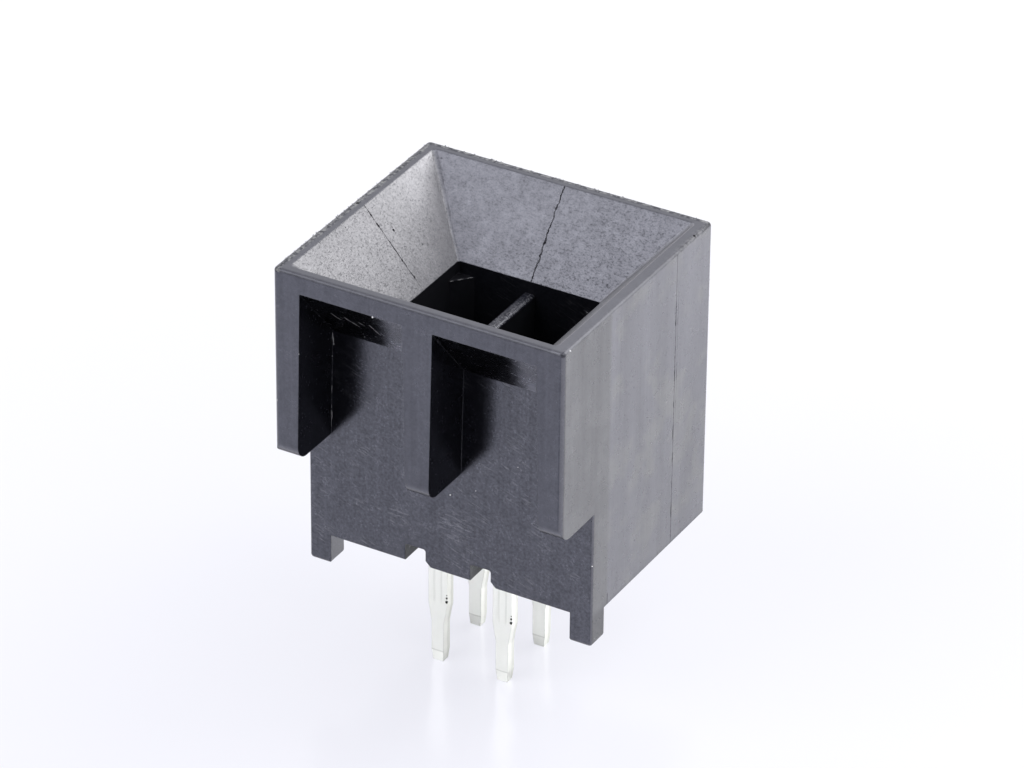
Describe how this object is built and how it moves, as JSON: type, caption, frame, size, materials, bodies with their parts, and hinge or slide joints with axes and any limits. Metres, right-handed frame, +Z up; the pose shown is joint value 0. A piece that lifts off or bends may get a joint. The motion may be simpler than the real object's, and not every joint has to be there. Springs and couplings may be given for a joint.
{
  "type": "pin header",
  "caption": "Upright board-mount power header with a funnel-shaped guide mouth, walled terminal cells, ribbed front overhang, locating pegs and straight solder tails.",
  "frame": {"origin": "middle of the terminal pattern, on the underside face that seats on the board", "axes": "+X to the right across the rows, +Y from the overhanging front to the flush back, +Z up out of the board towards the mating mouth"},
  "size_m": [0.013, 0.012, 0.0191],
  "materials": {
    "housing_plastic": "fine spark-eroded grain on glass-filled black thermoplastic",
    "tin_plate": "bright tin plating over stamped copper alloy"
  },
  "bodies": {
    "root": {"housing": "housing_plastic", "terminal_front_left": "tin_plate", "terminal_front_right": "tin_plate", "terminal_back_left": "tin_plate", "terminal_back_right": "tin_plate"}
  },
  "joints": []
}
